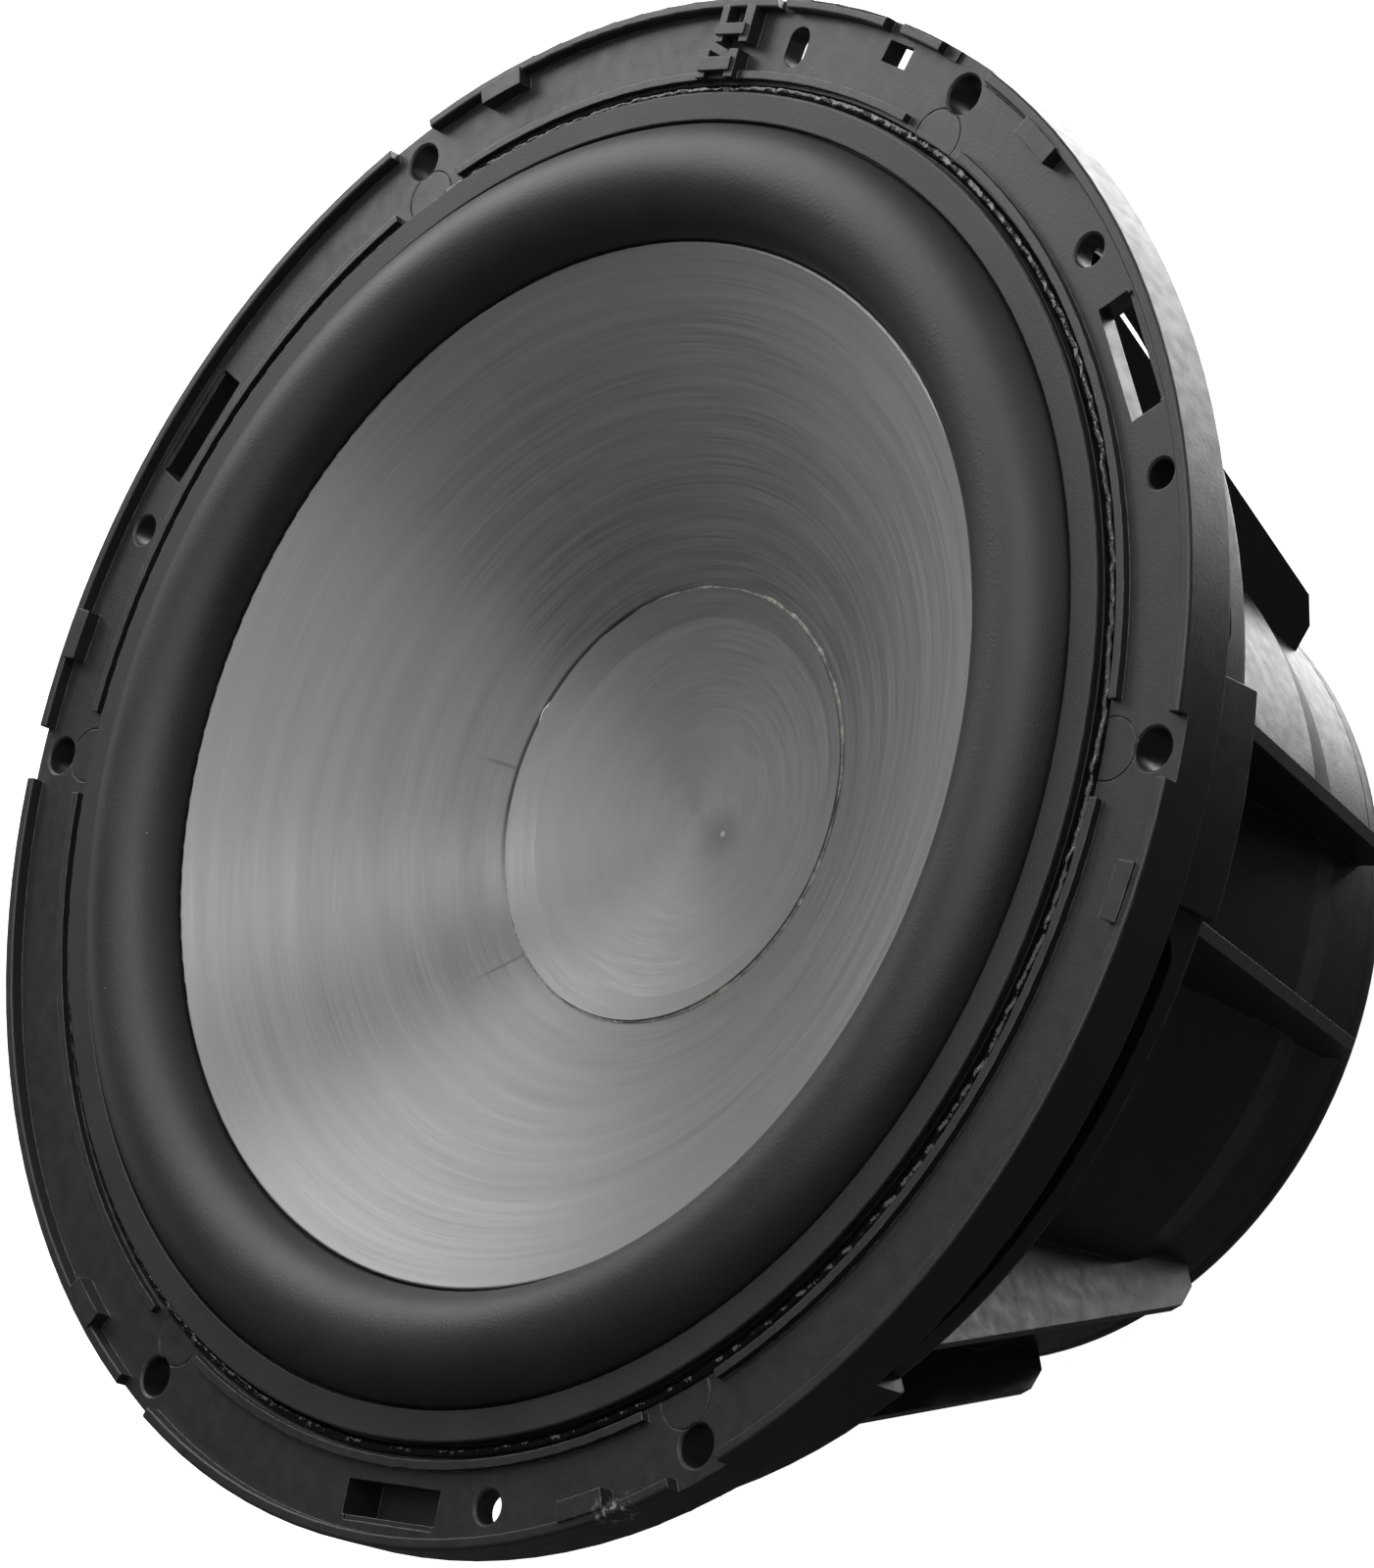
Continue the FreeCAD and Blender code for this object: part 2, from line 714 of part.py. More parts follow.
def make_rear_cover():
    """Round-edged cap that closes the back of the basket around the motor."""
    shell = turned([
        (0, cover_top - 1.0),
        (body_end[0] - wall - 0.5, cover_top - 1.0),
        (body_end[0] - wall - 0.5, cover_top - 0.05),
        (body_end[0], cover_top - 0.05),
        (body_end[0], cover_end, cover_corner_r),
        (0, cover_end),
    ])
    recess = turned([
        (0, cover_top + 1),
        (body_end[0] - wall - 3.5, cover_top + 1),
        (body_end[0] - wall - 3.5, cover_end + cover_t, 2.0),
        (0, cover_end + cover_t),
    ])
    posts = around(disc(5.0, cover_end + 1, yoke_z[1] - 0.05, cover_screw_circle_r), hole_angles[::2])
    shell = shell.cut(recess).fuse(posts)
    cuts = around(disc(2.2, cover_end - 1, 0, cover_screw_circle_r), hole_angles[::2])
    cuts += around(disc(4.4, cover_end - 1, cover_end + 2.6, cover_screw_circle_r), hole_angles[::2])
    cuts.append(disc(cover_vent_r, cover_end - 1, cover_end + 5))
    cuts.append(disc(cover_vent_r + 1.5, cover_end - 1, cover_end + 1.2))
    rib_count = 24
    for i in range(rib_count):
        groove = block(22, 1.2, cover_end - 1, cover_end + 0.6, 33.5, (i + 0.5) * 360 / rib_count)
        cuts.append(groove)
    return shell.cut(cuts).removeSplitter()


def make_vent_screen():
    """Perforated disc set into the rear cover's vent."""
    plate = disc(cover_vent_r + 1.4, cover_end + 0.3, cover_end + 1.15)
    pitch = 3.6
    holes = []
    for row in range(-4, 5):
        for col in range(-4, 5):
            x = (col + row * 0.5) * pitch
            y = row * pitch * math.sqrt(3) / 2
            if math.hypot(x, y) < cover_vent_r - 1.6:
                holes.append(Part.makeCylinder(1.25, 4, vec(x, y, cover_end - 1), Z_AXIS))
    return plate.cut(holes)


def make_cover_screws():
    head_low = cover_end + 0.4
    shank = disc(1.95, cover_end + 2.4, yoke_z[1] + 5, cover_screw_circle_r)
    head = disc(4.1, head_low, cover_end + 2.55, cover_screw_circle_r)
    slots = [
        block(5.2, 1.0, head_low - 1, head_low + 1.1, cover_screw_circle_r, 0),
        block(1.0, 5.2, head_low - 1, head_low + 1.1, cover_screw_circle_r, 0),
    ]
    screw = shank.fuse(head).cut(slots).removeSplitter()
    return Part.makeCompound(around(screw, hole_angles[::2]))


# ---------------------------------------------------------------- terminals

def terminal_screw_places():
    return [(-13.8, -9.8), (13.8, -9.8), (-13.8, 9.8), (13.8, 9.8)]


def terminal_screw_hole(radius, depth, across, up):
    hole = Part.makeCylinder(radius, depth, vec(pad_face + 0.5 - depth, across, terminal_z + up), X_AXIS)
    hole.rotate(CENTRE, Z_AXIS, terminal_angle)
    return hole


def make_terminal_block():
    """Moulded block with a plate on the pad and a body that passes through it."""
    plate_t = 2.4
    face = pad_face + 0.05
    plate = Part.makeBox(plate_t, 32, 24, vec(face, -16, terminal_z - 12))
    plate = plate.makeFillet(2.0, [e for e in plate.Edges if abs(e.tangentAt(0).x) > 0.99])
    inner = Part.makeBox(8, 21.6, 13.6, vec(face - 7.9, -10.8, terminal_z - 6.8))
    outer = Part.makeBox(9, 22, 13, vec(face + 1, -11, terminal_z - 6.5))
    outer = outer.makeFillet(1.2, [e for e in outer.Edges if abs(e.tangentAt(0).x) > 0.99])
    body = plate.fuse([inner, outer])
    cuts = []
    for side in (-1, 1):
        across = side * tab_spacing / 2
        low = vec(face - 20, across - tab_w / 2 - 0.05, terminal_z - tab_t / 2 - 0.05)
        cuts.append(Part.makeBox(40, tab_w + 0.1, tab_t + 0.1, low))
        mouth = vec(face + 4, across - 4.2, terminal_z - 4.4)
        cuts.append(Part.makeBox(12, 8.4, 8.8, mouth))
    for across, up in terminal_screw_places():
        cuts.append(Part.makeCylinder(1.6, 10, vec(face - 2, across, terminal_z + up), X_AXIS))
    body = body.cut(cuts)
    body.rotate(CENTRE, Z_AXIS, terminal_angle)
    return body


def make_terminal(side):
    """Flat push-on tab with an inner solder lug."""
    across = side * tab_spacing / 2
    inner_end = solder_lug_r - 3.0
    corner = vec(inner_end, across - tab_w / 2, terminal_z - tab_t / 2)
    tab = Part.makeBox(tab_end - inner_end, tab_w, tab_t, corner)
    tip = [e for e in tab.Edges if abs(e.tangentAt(0).z) > 0.99 and e.CenterOfMass.x > 100]
    tab = tab.makeChamfer(1.2, tip)
    tab = tab.cut(Part.makeCylinder(0.9, 4, vec(101.0, across, terminal_z - 2), Z_AXIS))
    tab.rotate(CENTRE, Z_AXIS, terminal_angle)
    return tab


def make_terminal_screws():
    screws = []
    for across, up in terminal_screw_places():
        base = pad_face + 0.05 + 2.4
        shank = Part.makeCylinder(1.05, 8.5, vec(base - 8.4, across, terminal_z + up), X_AXIS)
        head = Part.makeCylinder(2.6, 1.5, vec(base + 0.05, across, terminal_z + up), X_AXIS)
        slot = Part.makeBox(1, 3.6, 0.7, vec(base + 0.95, across - 1.8, terminal_z + up - 0.35))
        screw = shank.fuse(head).cut(slot).removeSplitter()
        screw.rotate(CENTRE, Z_AXIS, terminal_angle)
        screws.append(screw)
    return Part.makeCompound(screws)


# ---------------------------------------------------------------- all nodes

def nodes():
    return {
        "basket": make_basket(),
        "surround": make_surround(),
        "surround_clamp_ring": turned([
            (landing_ring[0], landing_ring[2]),
            (landing_ring[1], landing_ring[2]),
            (landing_ring[1], landing_ring[3], 0.5),
            (landing_ring[0], landing_ring[3], 0.3),
        ]),
        "surround_adhesive": make_surround_adhesive(),
        "cone": make_cone(),
        "dust_cap": make_dust_cap(),
        "cap_adhesive": make_cap_adhesive(),
        "neck_adhesive": make_neck_adhesive(),
        "coil_former": ring(former_r[0], former_r[1], former_z[1], former_z[0]),
        "voice_coil": ring(former_r[1] + 0.02, coil_r, coil_z[1], coil_z[0]),
        "spider": make_spider(),
        "spider_clamp_ring": make_spider_ring(),
        "lead_positive": make_lead(1),
        "lead_negative": make_lead(-1),
        "front_plate": make_front_plate(),
        "motor_screws": make_motor_screws(),
        "front_magnet": make_magnet(magnet_z[0], magnet_z[1]),
        "rear_magnet": make_magnet(magnet_z[1], magnet_z[2]),
        "yoke": make_yoke(),
        "shorting_ring": turned([
            (shorting_ring[0], shorting_ring[2]),
            (shorting_ring[0], shorting_ring[3]),
            (shorting_ring[1], shorting_ring[3]),
            (shorting_ring[1], shorting_ring[2], 1.0),
        ]),
        "rear_cover": make_rear_cover(),
        "rear_vent_screen": make_vent_screen(),
        "rear_cover_screws": make_cover_screws(),
        "terminal_block": make_terminal_block(),
        "terminal_positive": make_terminal(1),
        "terminal_negative": make_terminal(-1),
        "terminal_screws": make_terminal_screws(),
    }


os.makedirs("parts", exist_ok=True)
for name, shape in nodes().items():
    shape.exportStep("parts/" + name + ".step")
    print(name, "valid" if shape.isValid() else "NOT VALID", len(shape.Solids), "solids", round(shape.Volume, 1))
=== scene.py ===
# %% [markdown]
# # A car subwoofer, from fixed frame to finished look
# The hard parts of this speaker come from a CAD model that is loaded once and never moved.
# Blender adds what CAD is poor at: rubber, glue, cloth, wire, and the finish of every surface.
# The first cell loads the frame and keeps its box, so that the visual model can be held to it.

# %% Load the fixed frame
import math
import random

import bpy
import numpy as np
from mathutils import Matrix, Vector


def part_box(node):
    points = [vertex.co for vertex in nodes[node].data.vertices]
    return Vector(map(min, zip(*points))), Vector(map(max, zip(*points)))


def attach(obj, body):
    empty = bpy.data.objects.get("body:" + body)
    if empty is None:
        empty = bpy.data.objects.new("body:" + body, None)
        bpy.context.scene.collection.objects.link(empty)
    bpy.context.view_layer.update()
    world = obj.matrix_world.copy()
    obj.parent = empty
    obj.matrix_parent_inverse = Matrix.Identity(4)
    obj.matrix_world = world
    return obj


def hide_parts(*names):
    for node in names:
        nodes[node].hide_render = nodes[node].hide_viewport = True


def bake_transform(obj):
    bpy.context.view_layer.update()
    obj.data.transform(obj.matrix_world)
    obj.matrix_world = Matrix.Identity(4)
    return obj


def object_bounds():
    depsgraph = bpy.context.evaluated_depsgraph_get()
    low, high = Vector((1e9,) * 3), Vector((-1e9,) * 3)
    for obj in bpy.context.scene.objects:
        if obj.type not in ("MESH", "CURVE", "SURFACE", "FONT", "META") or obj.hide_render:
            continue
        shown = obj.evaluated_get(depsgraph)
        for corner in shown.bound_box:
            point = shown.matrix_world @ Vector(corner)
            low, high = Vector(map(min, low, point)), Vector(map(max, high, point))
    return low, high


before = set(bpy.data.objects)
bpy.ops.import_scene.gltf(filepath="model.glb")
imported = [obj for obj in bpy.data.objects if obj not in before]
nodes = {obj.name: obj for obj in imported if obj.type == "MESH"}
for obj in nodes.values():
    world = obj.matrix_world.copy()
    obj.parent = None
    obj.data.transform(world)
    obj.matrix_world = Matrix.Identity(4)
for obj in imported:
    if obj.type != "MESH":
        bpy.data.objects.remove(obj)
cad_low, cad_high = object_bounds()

MM = 0.001
size_mm = [round((high - low) / MM, 1) for low, high in zip(cad_low, cad_high)]
print("nodes", len(nodes), "size in mm", size_mm)

# %% [markdown]
# ## Camera
# A long lens, a hand's breadth above the rim and turned on its side, gives the product view:
# the cone reads as a deep bowl and the stepped basket shows behind the flange.
# The camera is placed by direction and distance from an aim point, then rolled, so that each
# number has a meaning of its own. Shift and depth of field stay off.

# %% Camera
view_azimuth = math.radians(-136.285)
view_elevation = math.radians(43.668)
view_roll = math.radians(67.06)
view_distance = 0.799
aim = Vector((-21.32, -25.99, 0.0)) * MM

backward = Vector((
    math.cos(view_elevation) * math.cos(view_azimuth),
    math.cos(view_elevation) * math.sin(view_azimuth),
    math.sin(view_elevation),
))
level_right = Vector((0, 0, 1)).cross(backward).normalized()
level_up = backward.cross(level_right)
camera_up = level_up * math.cos(view_roll) + level_right * math.sin(view_roll)
camera_right = camera_up.cross(backward)

camera_data = bpy.data.cameras.new("product_camera")
camera_data.lens = 114.59
camera = bpy.data.objects.new("product_camera", camera_data)
camera.matrix_world = Matrix.Translation(aim + backward * view_distance) @ Matrix((
    camera_right, camera_up, backward)).transposed().to_4x4()
bpy.context.scene.collection.objects.link(camera)
bpy.context.scene.camera = camera
bpy.context.scene.view_settings.view_transform = "Standard"
print("camera at", [round(x, 3) for x in camera.location])

# %% [markdown]
# ## Helpers
# Colours are written as the sRGB hex codes a paint chart gives, and turned into the linear
# values that shaders work in. One function adds any shader node with its settings, values and
# incoming links. `per_mm` turns a real feature size into a texture scale, because texture
# coordinates here are metres.

# %% Colour and node helpers
def colour(code):
    """Linear RGBA from an sRGB hex code."""
    channels = [int(code[i:i + 2], 16) / 255 for i in (1, 3, 5)]
    linear = [c / 12.92 if c <= 0.04045 else ((c + 0.055) / 1.055) ** 2.4 for c in channels]
    return (*linear, 1.0)


def add_node(tree, kind, settings=None, values=None, links=None):
    """Add one node: its settings, its own socket values, and the sockets that feed it."""
    node = tree.nodes.new(kind)
    for name, value in (settings or {}).items():
        setattr(node, name, value)
    for socket, value in (values or {}).items():
        node.inputs[socket].default_value = value
    for socket, source in (links or {}).items():
        tree.links.new(source, node.inputs[socket])
    return node


def new_material(name, **values):
    """A material with one Principled surface, whose sockets are named with underscores."""
    material = bpy.data.materials.new(name)
    material.use_nodes = True
    tree = material.node_tree
    tree.nodes.clear()
    sockets = {key.replace("_", " "): value for key, value in values.items()}
    surface = add_node(tree, "ShaderNodeBsdfPrincipled", values=sockets)
    add_node(tree, "ShaderNodeOutputMaterial", links={"Surface": surface.outputs["BSDF"]})
    place = add_node(tree, "ShaderNodeTexCoord").outputs["Object"]
    return material, tree, surface, place


def per_mm(size):
    """Texture scale for features of about this many millimetres."""
    return 1 / (size * MM)


def stretch(tree, source, low, high, to_low, to_high):
    """Map a value from one range to another, held at both ends."""
    node = add_node(tree, "ShaderNodeMapRange", values={1: low, 2: high, 3: to_low, 4: to_high})
    tree.links.new(source, node.inputs[0])
    return node.outputs[0]


def noise(tree, place, size, detail=3.0):
    """Cloud noise with features of about this many millimetres."""
    values = {"Scale": per_mm(size), "Detail": detail}
    return add_node(tree, "ShaderNodeTexNoise", values=values, links={"Vector": place}).outputs["Fac"]


def mix_colours(tree, share, first, second):
    """Blend two colours; each is a hex code or a socket."""
    node = add_node(tree, "ShaderNodeMix", {"data_type": "RGBA"}, links={0: share})
    for index, value in ((6, first), (7, second)):
        if isinstance(value, str):
            node.inputs[index].default_value = colour(value)
        else:
            tree.links.new(value, node.inputs[index])
    return node.outputs[2]


def bump(tree, height, depth_mm, normal=None):
    """Surface relief whose full height is this many millimetres."""
    links = {"Height": height}
    if normal is not None:
        links["Normal"] = normal
    node = add_node(tree, "ShaderNodeBump", values={"Strength": 1.0, "Distance": depth_mm * MM}, links=links)
    return node.outputs["Normal"]


def specks(tree, place, spacing, size):
    """Sparse round dots, as dust makes: one in each cell of the given spacing."""
    cells = add_node(tree, "ShaderNodeTexVoronoi", values={"Scale": per_mm(spacing)}, links={"Vector": place})
    dots = stretch(tree, cells.outputs["Distance"], size / spacing * 0.5, size / spacing * 0.25, 0, 1)
    some = stretch(tree, noise(tree, place, spacing * 2.5, 0.0), 0.55, 0.6, 0, 1)
    return add_node(tree, "ShaderNodeMath", {"operation": "MULTIPLY"}, links={0: dots, 1: some}).outputs[0]


print("helpers ready; black is", colour("#000000")[:3], "and white is", colour("#ffffff")[:3])

# %% [markdown]
# ## Floor and studio light
# The floor is a plain white sweep at the height of the rear cover. It glows almost as brightly
# as lit paper, so hardly any shadow shows on it. The floor is kept out of the speaker's reflections: on a real
# product stand the black basket reads black because little light comes up from below.
# A broad soft box lights the cone from above, and a strip behind draws a line of light along
# the flange's skirt.

# %% Floor and lights
floor_z = cad_low.z - 0.0002
floor_half = 4.0
floor_mesh = bpy.data.meshes.new("floor")
corners = [(-floor_half, -floor_half, floor_z), (floor_half, -floor_half, floor_z),
           (floor_half, floor_half, floor_z), (-floor_half, floor_half, floor_z)]
floor_mesh.from_pydata(corners, [], [(0, 1, 2, 3)])
floor = bpy.data.objects.new("floor", floor_mesh)
bpy.context.scene.collection.objects.link(floor)
floor.visible_diffuse = False
floor.visible_glossy = False
floor.visible_shadow = False

paint, tree, surface, place = new_material(
    "matt white paper sweep", Roughness=0.9, Emission_Color=colour("#ffffff"), Emission_Strength=0.97)
fibre = stretch(tree, noise(tree, place, 60.0), 0.3, 0.7, 0, 1)
tree.links.new(mix_colours(tree, fibre, "#f4f4f4", "#f8f8f8"), surface.inputs["Base Color"])
floor_mesh.materials.append(paint)

world = bpy.data.worlds.new("studio")
world.use_nodes = True
world.node_tree.nodes["Background"].inputs["Color"].default_value = colour("#ffffff")
world.node_tree.nodes["Background"].inputs["Strength"].default_value = 0.06
bpy.context.scene.world = world


def soft_box(name, direction, distance, width, height, power):
    """Rectangular area light that points at the middle of the speaker."""
    data = bpy.data.lights.new(name, "AREA")
    data.shape = "RECTANGLE"
    data.size = width
    data.size_y = height
    data.energy = power
    light = bpy.data.objects.new(name, data)
    toward = Vector(direction).normalized()
    light.location = toward * distance
    light.rotation_euler = toward.to_track_quat("Z", "Y").to_euler()
    light.visible_camera = False
    bpy.context.scene.collection.objects.link(light)
    return light


window = soft_box("window_soft_box", (0.90, 0.14, 0.42), 0.62, 0.55, 0.45, 2.7)
overhead = soft_box("overhead_soft_box", (0.10, -0.26, 0.96), 1.1, 1.3, 1.3, 8.3)
accent = soft_box("accent_soft_box", (0.34, -0.36, 0.87), 1.2, 0.30, 0.30, 1.6)
side = soft_box("side_panel", (0.35, -0.86, 0.36), 0.95, 0.8, 0.5, 1.2)
back = soft_box("back_panel", (0.72, 0.68, 0.08), 1.0, 1.2, 0.5, 1.1)
rim = soft_box("rim_strip", (0.66, -0.30, -0.69), 0.75, 0.85, 0.5, 6.5)
lights = [window, overhead, accent, side, back, rim]
print("floor at", round(floor_z / MM, 1), "mm; lights", [light.name for light in lights])

# %% [markdown]
# ## Moulded basket
# The basket and flange are one injection moulding of glass-filled polyamide. The tool's
# spark-eroded skin leaves a fine satin grain, and the melt leaves faint cloudy flow marks.
# The edges are painted paler in specks: partly handling wear, partly a painted highlight.
# The grain is drawn at 0.6 mm, about twice its real size, so that it does not vanish at this
# distance. A Bevel node both rounds the hard CAD edges for the light and finds them for the
# pale edge paint.

# %% Basket material
def moulded_polymer(name, dark, light, edge, grain_mm, roughness):
    """Satin black moulding with grain, flow marks, paler edges (wear and painted highlight) and a little dust.
    """
    material, tree, surface, place = new_material(name, IOR=1.53)
    rounded = add_node(tree, "ShaderNodeBevel", {"samples": 6}, {"Radius": 0.3 * MM}).outputs["Normal"]
    flat = add_node(tree, "ShaderNodeNewGeometry").outputs["Normal"]
    facing = add_node(tree, "ShaderNodeVectorMath", {"operation": "DOT_PRODUCT"},
                      links={0: rounded, 1: flat}).outputs["Value"]
    # Paler specks along the edges: partly handling wear, partly a painted highlight along them.
    edges = stretch(tree, facing, 0.97, 0.82, 0, 1)
    rubbed = stretch(tree, noise(tree, place, 2.2), 0.44, 0.60, 0.1, 1.0)
    edge_wear_and_highlight = add_node(tree, "ShaderNodeMath", {"operation": "MULTIPLY"}, links={0: edges, 1: rubbed})
    flow = stretch(tree, noise(tree, place, 24.0), 0.35, 0.65, 0, 1)
    tint = mix_colours(tree, flow, dark, light)
    tint = mix_colours(tree, edge_wear_and_highlight.outputs[0], tint, edge)
    dust = stretch(tree, specks(tree, place, 9.0, 0.5), 0, 1, 0, 0.55)
    tint = mix_colours(tree, dust, tint, "#a4a39f")
    tree.links.new(tint, surface.inputs["Base Color"])
    gloss = stretch(tree, noise(tree, place, 3.0), 0.3, 0.7, roughness - 0.05, roughness + 0.06)
    tree.links.new(gloss, surface.inputs["Roughness"])
    tree.links.new(bump(tree, noise(tree, place, grain_mm, 2.0), 0.03, rounded), surface.inputs["Normal"])
    return material, tree, surface, place


basket_polymer, tree, surface, place = moulded_polymer(
    "glass-filled polyamide, spark-eroded skin", "#252526", "#292929", "#707070", 0.6, 0.40)

# One scraped patch on the rim, where the flange has been slid over something pale.
scrape_centre = Vector((-132.0, 17.0, 1.0)) * MM
offset = add_node(tree, "ShaderNodeVectorMath", {"operation": "DISTANCE"}, {1: scrape_centre}, {0: place})
near = stretch(tree, offset.outputs["Value"], 5 * MM, 1.2 * MM, 0, 1)
scratches = stretch(tree, noise(tree, place, 1.2, 4.0), 0.52, 0.60, 0, 0.55)
scrape = add_node(tree, "ShaderNodeMath", {"operation": "MULTIPLY"}, links={0: near, 1: scratches})
below = surface.inputs["Base Color"].links[0].from_socket
tree.links.new(mix_colours(tree, scrape.outputs[0], below, "#c8c7c2"), surface.inputs["Base Color"])

cover_polymer = moulded_polymer("moulded polypropylene cover", "#202021", "#272728", "#444445", 0.8, 0.46)[0]
terminal_polymer = moulded_polymer("moulded terminal phenolic", "#1c1c1d", "#242425", "#3f3f40", 0.5, 0.35)[0]
print("polymer materials", basket_polymer.name, cover_polymer.name, terminal_polymer.name)

# %% [markdown]
# ## Turned, lacquered cone and cap
# The cone is pressed from filled polymer and given an aluminium-flake lacquer while it spins,
# so its face is covered in fine circular marks. Fine parallel marks spread a highlight across
# themselves: along the radius here, which is what draws the bright fan on the cone.
# The surface does that with anisotropy, on a tangent that runs round the axis and is then
# turned a quarter. The marks come from noise that is squeezed along the radius and stretched
# round the circle, so each one fades out after a part of a turn. They are drawn about 0.35 mm
# apart, two or three times coarser than the real ones. Two short seams run outward from the cap,
# and the cap keeps the pale gate mark of its mould with a soft smudge round it.

# %% Cone and cap materials
def turned_lacquer(name, dark, light, line_mm, line_depth, anisotropy, roughness):
    """Metallic lacquer with fine circular marks."""
    material, tree, surface, place = new_material(
        name, Metallic=0.55, Anisotropic=anisotropy, Anisotropic_Rotation=0.25)
    flat = add_node(tree, "ShaderNodeVectorMath", {"operation": "MULTIPLY"}, {1: (1, 1, 0)}, {0: place})
    radius = add_node(tree, "ShaderNodeVectorMath", {"operation": "LENGTH"}, links={0: flat.outputs[0]})
    heading = add_node(tree, "ShaderNodeVectorMath", {"operation": "NORMALIZE"}, links={0: flat.outputs[0]})
    parts = add_node(tree, "ShaderNodeSeparateXYZ", links={0: heading.outputs[0]})

    def circular(size, turns):
        """Noise of this size along the radius, that changes slowly round the circle."""
        along = add_node(tree, "ShaderNodeMath", {"operation": "MULTIPLY"}, {1: per_mm(size)},
                         {0: radius.outputs["Value"]})
        spot = add_node(tree, "ShaderNodeCombineXYZ", links={0: parts.outputs[0], 1: parts.outputs[1],
                                                            2: along.outputs[0]})
        wide = add_node(tree, "ShaderNodeVectorMath", {"operation": "MULTIPLY"}, {1: (turns, turns, 1)},
                        {0: spot.outputs[0]})
        return add_node(tree, "ShaderNodeTexNoise", values={"Scale": 1.0, "Detail": 2.0},
                        links={"Vector": wide.outputs[0]}).outputs["Fac"]

    fine = circular(line_mm, 2.5)
    broad = circular(2.6, 1.2)
    share = add_node(tree, "ShaderNodeMath", {"operation": "ADD"},
                     links={0: stretch(tree, fine, 0.3, 0.7, 0, 0.6),
                            1: stretch(tree, broad, 0.3, 0.7, 0, 0.4)})
    tint = mix_colours(tree, share.outputs[0], dark, light)
    # Painted light: the cone is painted paler towards its rim, standing in for the shade that darkens the deep
    # middle of the bowl.
    painted_light_to_rim = stretch(tree, radius.outputs["Value"], 45 * MM, 90 * MM, 0, 0.2)
    tint = mix_colours(tree, painted_light_to_rim, tint, "#c0c0c0")
    dust = stretch(tree, specks(tree, place, 11.0, 0.45), 0, 1, 0, 0.4)
    tree.links.new(mix_colours(tree, dust, tint, "#c9c9c6"), surface.inputs["Base Color"])
    rough = stretch(tree, fine, 0.3, 0.7, roughness - 0.05, roughness + 0.07)
    tree.links.new(rough, surface.inputs["Roughness"])
    tree.links.new(bump(tree, fine, line_depth), surface.inputs["Normal"])
    around_axis = add_node(tree, "ShaderNodeTangent", {"direction_type": "RADIAL", "axis": "Z"})
    tree.links.new(around_axis.outputs[0], surface.inputs["Tangent"])
    return material, tree, surface, flat.outputs[0]


def paint_over(tree, surface, share, tone):
    """Lay one more tone over the colour a surface already has."""
    below = surface.inputs["Base Color"].links[0].from_socket
    tree.links.new(mix_colours(tree, share, below, tone), surface.inputs["Base Color"])


def seam(tree, flat, angle, inner, outer):
    """Thin radial line on the cone: 1 on the line, from one radius to another in millimetres."""
    along = (math.cos(math.radians(angle)), math.sin(math.radians(angle)), 0)
    across = (-along[1], along[0], 0)
    spots = []
    for direction in (along, across):
        dot = add_node(tree, "ShaderNodeVectorMath", {"operation": "DOT_PRODUCT"}, {1: direction}, {0: flat})
        spots.append(dot.outputs["Value"])
    gap = add_node(tree, "ShaderNodeMath", {"operation": "ABSOLUTE"}, links={0: spots[1]}).outputs[0]
    line = stretch(tree, gap, 0.45 * MM, 0.1 * MM, 0, 0.55)
    length = stretch(tree, spots[0], inner * MM, (inner + 1) * MM, 0, 1)
    end = stretch(tree, spots[0], outer * MM, (outer - 4) * MM, 0, 1)
    for part in (length, end):
        both = add_node(tree, "ShaderNodeMath", {"operation": "MULTIPLY"}, links={0: line, 1: part})
        line = both.outputs[0]
    return line


cone_lacquer, tree, surface, flat = turned_lacquer(
    "aluminium-flake lacquer, turned", "#686868", "#828282", 0.35, 0.004, 0.72, 0.44)
for angle, inner, outer in ((51.0, 38.4, 46.3), (105.0, 37.7, 47.7)):
    paint_over(tree, surface, seam(tree, flat, angle, inner, outer), "#454545")

# A thin dark line is painted on the cone beside part of the cap's edge: painted shadow of the gap there.
radius = add_node(tree, "ShaderNodeVectorMath", {"operation": "LENGTH"}, links={0: flat}).outputs["Value"]
beside = add_node(tree, "ShaderNodeVectorMath", {"operation": "DISTANCE"},
                  {1: Vector((33.0, 19.0, 0.0)) * MM}, {0: flat}).outputs["Value"]
line = stretch(tree, radius, 39.3 * MM, 38.9 * MM, 0, 1)
some = stretch(tree, beside, 36 * MM, 20 * MM, 0, 0.85)
painted_gap_shadow = add_node(tree, "ShaderNodeMath", {"operation": "MULTIPLY"}, links={0: line, 1: some}).outputs[0]
paint_over(tree, surface, painted_gap_shadow, "#161616")

cap_lacquer, tree, surface, flat = turned_lacquer(
    "aluminium-flake lacquer, sprayed cap", "#7e7e7e", "#888888", 0.45, 0.002, 0.5, 0.46)
gate = Vector((-6.04, -3.92, 0.0)) * MM
from_gate = add_node(tree, "ShaderNodeVectorMath", {"operation": "DISTANCE"},
                     {1: gate}, {0: flat}).outputs["Value"]
paint_over(tree, surface, stretch(tree, from_gate, 5.5 * MM, 1.0 * MM, 0, 0.3), "#3c3c3c")
paint_over(tree, surface, stretch(tree, from_gate, 0.7 * MM, 0.3 * MM, 0, 0.8), "#b5b5b3")
print("lacquers", cone_lacquer.name, "and", cap_lacquer.name)

# %% [markdown]
# ## Rubber, glue and cloth
# The surround is compression-moulded nitrile rubber: nearly black, with a soft broad
# highlight and a fine matt grain from the mould. The glue is black and glossy where it was
# laid by nozzle, and clear and greyish where it was brushed. The spider is woven cotton and
# polyester, stiffened with resin; its two thread directions are two wave textures.

